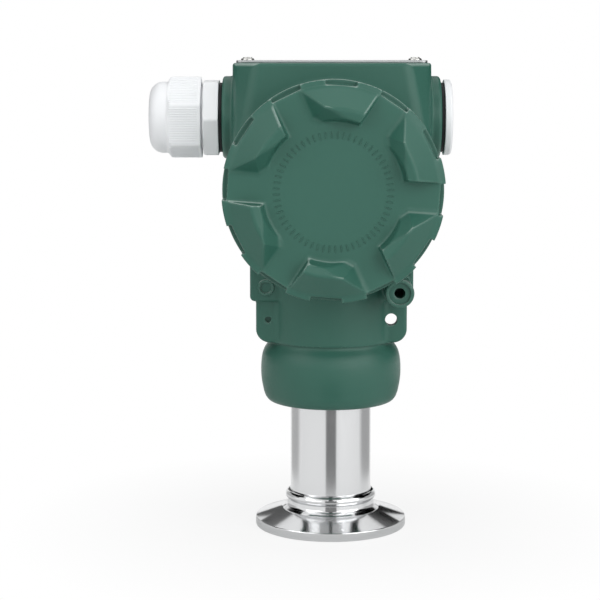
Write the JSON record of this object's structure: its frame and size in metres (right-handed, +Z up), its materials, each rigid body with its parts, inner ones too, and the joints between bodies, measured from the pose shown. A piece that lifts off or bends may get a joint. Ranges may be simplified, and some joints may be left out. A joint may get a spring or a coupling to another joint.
{
  "type": "pressure transmitter",
  "caption": "Field pressure transmitter: cast round housing with lobed screw covers, cable gland, blind plug and a steel stem ending in a clamp ferrule.",
  "frame": {"origin": "centre of the ferrule's bottom face, on the stem's axis", "axes": "+Z up the stem, -Y out of the front cover, -X out of the cable gland, +X out of the blind plug"},
  "size_m": [0.1004, 0.1024, 0.1582],
  "materials": {
    "green_paint": "die-cast aluminium with fine-grained green epoxy powder paint",
    "stainless_steel": "turned and polished",
    "plate_steel": "brushed",
    "screw_steel": "bright",
    "white_nylon": "satin moulded nylon",
    "black_rubber": "matt",
    "black_plastic": "matt",
    "pale_plastic": "satin",
    "blue_plastic": "gloss",
    "red_plastic": "gloss",
    "grey_ribbon": "satin",
    "board_green": "satin solder mask",
    "brown_insulator": "satin",
    "brass": "bright"
  },
  "bodies": {
    "housing": {"housing": "green_paint", "stem": "stainless_steel", "diaphragm": "stainless_steel", "sensor_cell": "stainless_steel", "stem_lock_screw": "stainless_steel", "nameplate": "plate_steel", "nameplate_screws": "screw_steel", "terminal_screws": "screw_steel", "terminal_clamps": "screw_steel", "terminal_block_screws": "screw_steel", "ground_screw": "screw_steel", "ground_clamp": "screw_steel", "shroud_screws": "screw_steel", "gland_body": "white_nylon", "cell_oring": "black_rubber", "stem_oring": "black_rubber", "gland_washer": "black_rubber", "terminal_block": "black_plastic", "board_components": "black_plastic", "button_switches": "black_plastic", "electronics_shroud": "pale_plastic", "sensor_connector": "pale_plastic", "sensor_ribbon": "grey_ribbon", "amplifier_board": "board_green", "compensation_board": "board_green", "feedthrough_bushes": "brown_insulator", "feedthrough_pins": "brass", "board_standoffs": "brass", "header_pins": "brass", "cell_retainer": "brass"},
    "front_ring": {"front_cover_oring": "black_rubber"},
    "front_cover": {"front_cover": "green_paint"},
    "rear_ring": {"rear_cover_oring": "black_rubber"},
    "rear_cover": {"rear_cover": "green_paint"},
    "gland_insert": {"gland_claw": "white_nylon", "gland_seal": "black_rubber"},
    "gland_nut": {"gland_nut": "white_nylon"},
    "plug_ring": {"plug_washer": "black_rubber"},
    "blind_plug": {"blind_plug": "white_nylon"},
    "zero_button": {"zero_button": "blue_plastic"},
    "span_button": {"span_button": "red_plastic"}
  },
  "joints": [
    {"name": "front_cover_travel", "type": "slide", "parent": "housing", "child": "front_ring", "axis": [0, -1, 0], "range_m": [0, 0.009]},
    {"name": "front_cover_turn", "type": "hinge", "parent": "front_ring", "child": "front_cover", "pos_m": [0, 0, 0.1158], "axis": [0, -1, 0], "range_deg": [0, 2160]},
    {"name": "rear_cover_travel", "type": "slide", "parent": "housing", "child": "rear_ring", "axis": [0, 1, 0], "range_m": [0, 0.009]},
    {"name": "rear_cover_turn", "type": "hinge", "parent": "rear_ring", "child": "rear_cover", "pos_m": [0, 0, 0.1158], "axis": [0, 1, 0], "range_deg": [0, 2160]},
    {"name": "gland_nut_travel", "type": "slide", "parent": "housing", "child": "gland_insert", "axis": [-1, 0, 0], "range_m": [0, 0.006]},
    {"name": "gland_nut_turn", "type": "hinge", "parent": "gland_insert", "child": "gland_nut", "pos_m": [0, 0, 0.1372], "axis": [-1, 0, 0], "range_deg": [0, 1440]},
    {"name": "blind_plug_travel", "type": "slide", "parent": "housing", "child": "plug_ring", "axis": [1, 0, 0], "range_m": [0, 0.009]},
    {"name": "blind_plug_turn", "type": "hinge", "parent": "plug_ring", "child": "blind_plug", "pos_m": [0, 0, 0.1372], "axis": [1, 0, 0], "range_deg": [0, 2160]},
    {"name": "zero_press", "type": "slide", "parent": "housing", "child": "zero_button", "axis": [0, -1, 0], "range_m": [0, 0.0008], "stiffness_N_per_m": 1200, "springref_m": -0.0005},
    {"name": "span_press", "type": "slide", "parent": "housing", "child": "span_button", "axis": [0, -1, 0], "range_m": [0, 0.0008], "stiffness_N_per_m": 1200, "springref_m": -0.0005}
  ],
  "couplings": [
    {"joint": "front_cover_travel", "follows": "front_cover_turn", "m_per_rad": 0.0002387},
    {"joint": "rear_cover_travel", "follows": "rear_cover_turn", "m_per_rad": 0.0002387},
    {"joint": "gland_nut_travel", "follows": "gland_nut_turn", "m_per_rad": 0.0002387},
    {"joint": "blind_plug_travel", "follows": "blind_plug_turn", "m_per_rad": 0.0002387}
  ]
}
